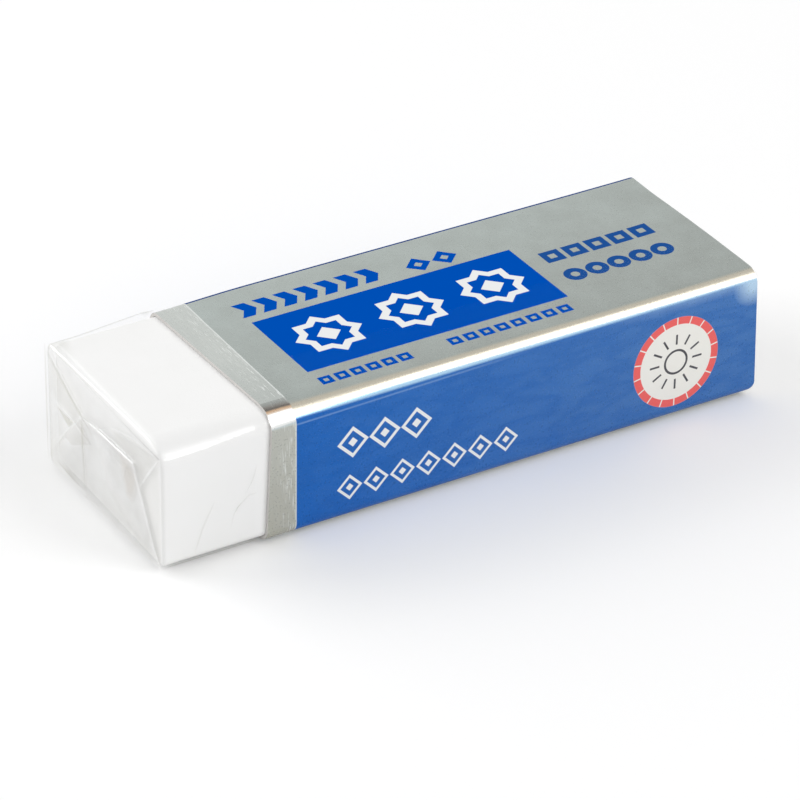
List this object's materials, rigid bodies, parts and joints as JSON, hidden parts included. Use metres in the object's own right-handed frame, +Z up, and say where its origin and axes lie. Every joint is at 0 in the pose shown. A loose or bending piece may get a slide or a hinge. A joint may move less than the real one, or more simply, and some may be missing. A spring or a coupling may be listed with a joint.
{
  "type": "rubber eraser",
  "caption": "Block eraser of white vinyl in a folded foil-faced card sleeve, sealed in clear film with envelope-folded ends.",
  "frame": {"origin": "On the table, under the middle of the wrapped pack.", "axes": "+X along the length, away from the bare end of the block. +Z up, out of the silver face. Y across the width."},
  "size_m": [0.06, 0.0214, 0.0127],
  "materials": {
    "vinyl": "white moulded vinyl, smooth and matt",
    "sleeve_card": "foil-faced card, satin silver and printed blue",
    "clear_film": "clear glossy wrapping film"
  },
  "bodies": {
    "root": {"eraser_block": "vinyl", "card_sleeve": "sleeve_card", "film_wrap": "clear_film"}
  },
  "joints": []
}
